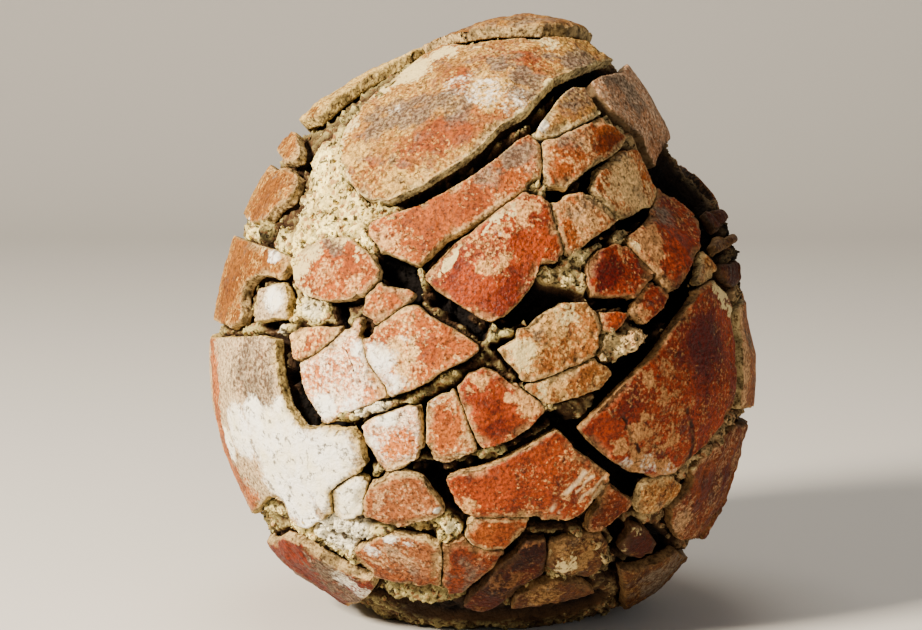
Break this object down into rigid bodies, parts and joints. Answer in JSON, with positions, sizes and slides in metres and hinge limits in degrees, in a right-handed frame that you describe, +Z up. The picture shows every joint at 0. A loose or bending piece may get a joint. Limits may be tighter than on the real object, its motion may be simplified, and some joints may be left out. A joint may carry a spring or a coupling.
{
  "type": "fossil dinosaur egg",
  "caption": "Fossil egg: a rounded, slightly crushed lump of sediment covered with cracked, displaced plates of thick eggshell, resting on a small flat spot.",
  "frame": {"origin": "centre of the flat spot that the egg rests on", "axes": "+Z up through the egg's crown, -Y towards the side with the large crown plate and the open cracks, +X to that side's right"},
  "size_m": [0.1492, 0.1435, 0.1628],
  "materials": {
    "sediment": "dull, granular, pale cream hardened silt",
    "eggshell_pale": "pale cream fossil eggshell with a chalky bloom",
    "eggshell_grey": "fossil eggshell stained grey",
    "eggshell_beige": "dull beige fossil eggshell",
    "eggshell_orange": "dull orange-brown fossil eggshell",
    "eggshell_dark_red": "dull dark red fossil eggshell",
    "eggshell_pink": "dull pinkish fossil eggshell",
    "eggshell_white": "fossil eggshell under a white lime crust"
  },
  "bodies": {
    "root": {"sediment_core": "sediment", "shell_cap": "eggshell_pale", "shell_crown_rim": "eggshell_pale", "shell_crown": "eggshell_grey", "shell_crown_chip": "eggshell_beige", "shell_shoulder_right": "eggshell_beige", "shell_brow_right": "eggshell_orange", "shell_brow_left": "eggshell_orange", "shell_collar_left_top": "eggshell_beige", "shell_collar_left": "eggshell_orange", "shell_middle": "eggshell_orange", "shell_middle_right": "eggshell_orange", "shell_granular": "eggshell_pale", "shell_cheek_right": "eggshell_dark_red", "shell_dark_red": "eggshell_dark_red", "shell_chip_outer": "eggshell_orange", "shell_chip_inner": "eggshell_orange", "shell_tan": "eggshell_pale", "shell_pinkish": "eggshell_pink", "shell_orange_middle": "eggshell_orange", "shell_orange_pink": "eggshell_pink", "shell_pale_pink": "eggshell_pale", "shell_white_tipped": "eggshell_pink", "shell_flank_pale": "eggshell_pale", "shell_flank_strip": "eggshell_pink", "shell_flank_upper": "eggshell_orange", "shell_flank_chip": "eggshell_orange", "shell_limb_left": "eggshell_orange", "shell_cream_chip": "eggshell_white", "shell_encrusted": "eggshell_white", "shell_white_crumb": "eggshell_white", "shell_pinkish_tan": "eggshell_pink", "shell_long_orange": "eggshell_orange", "shell_flank_right": "eggshell_dark_red", "shell_grain_middle": "eggshell_beige", "shell_grain_top": "eggshell_beige", "shell_grain_upper": "eggshell_dark_red", "shell_grain_lower": "eggshell_beige", "shell_brown_chip": "eggshell_dark_red", "shell_foot_beige": "eggshell_beige", "shell_limb_right": "eggshell_beige", "shell_dark_chip": "eggshell_dark_red", "shell_foot_orange": "eggshell_orange", "shell_foot_pink": "eggshell_pink", "shell_foot_left": "eggshell_pale", "shell_limb_foot_left": "eggshell_dark_red", "shell_foot_dark": "eggshell_dark_red", "shell_foot_grey": "eggshell_grey", "shell_foot_brown": "eggshell_dark_red", "shell_foot_right": "eggshell_dark_red", "shell_back_foot_right": "eggshell_beige", "shell_back_foot_middle": "eggshell_orange", "shell_back_foot_left": "eggshell_pale", "shell_back_right": "eggshell_dark_red", "shell_back_middle_right": "eggshell_orange", "shell_back_middle_left": "eggshell_beige", "shell_back_left": "eggshell_pale", "shell_back_shoulder_right": "eggshell_orange", "shell_back_shoulder_middle": "eggshell_beige", "shell_back_shoulder_left": "eggshell_orange"}
  },
  "joints": []
}
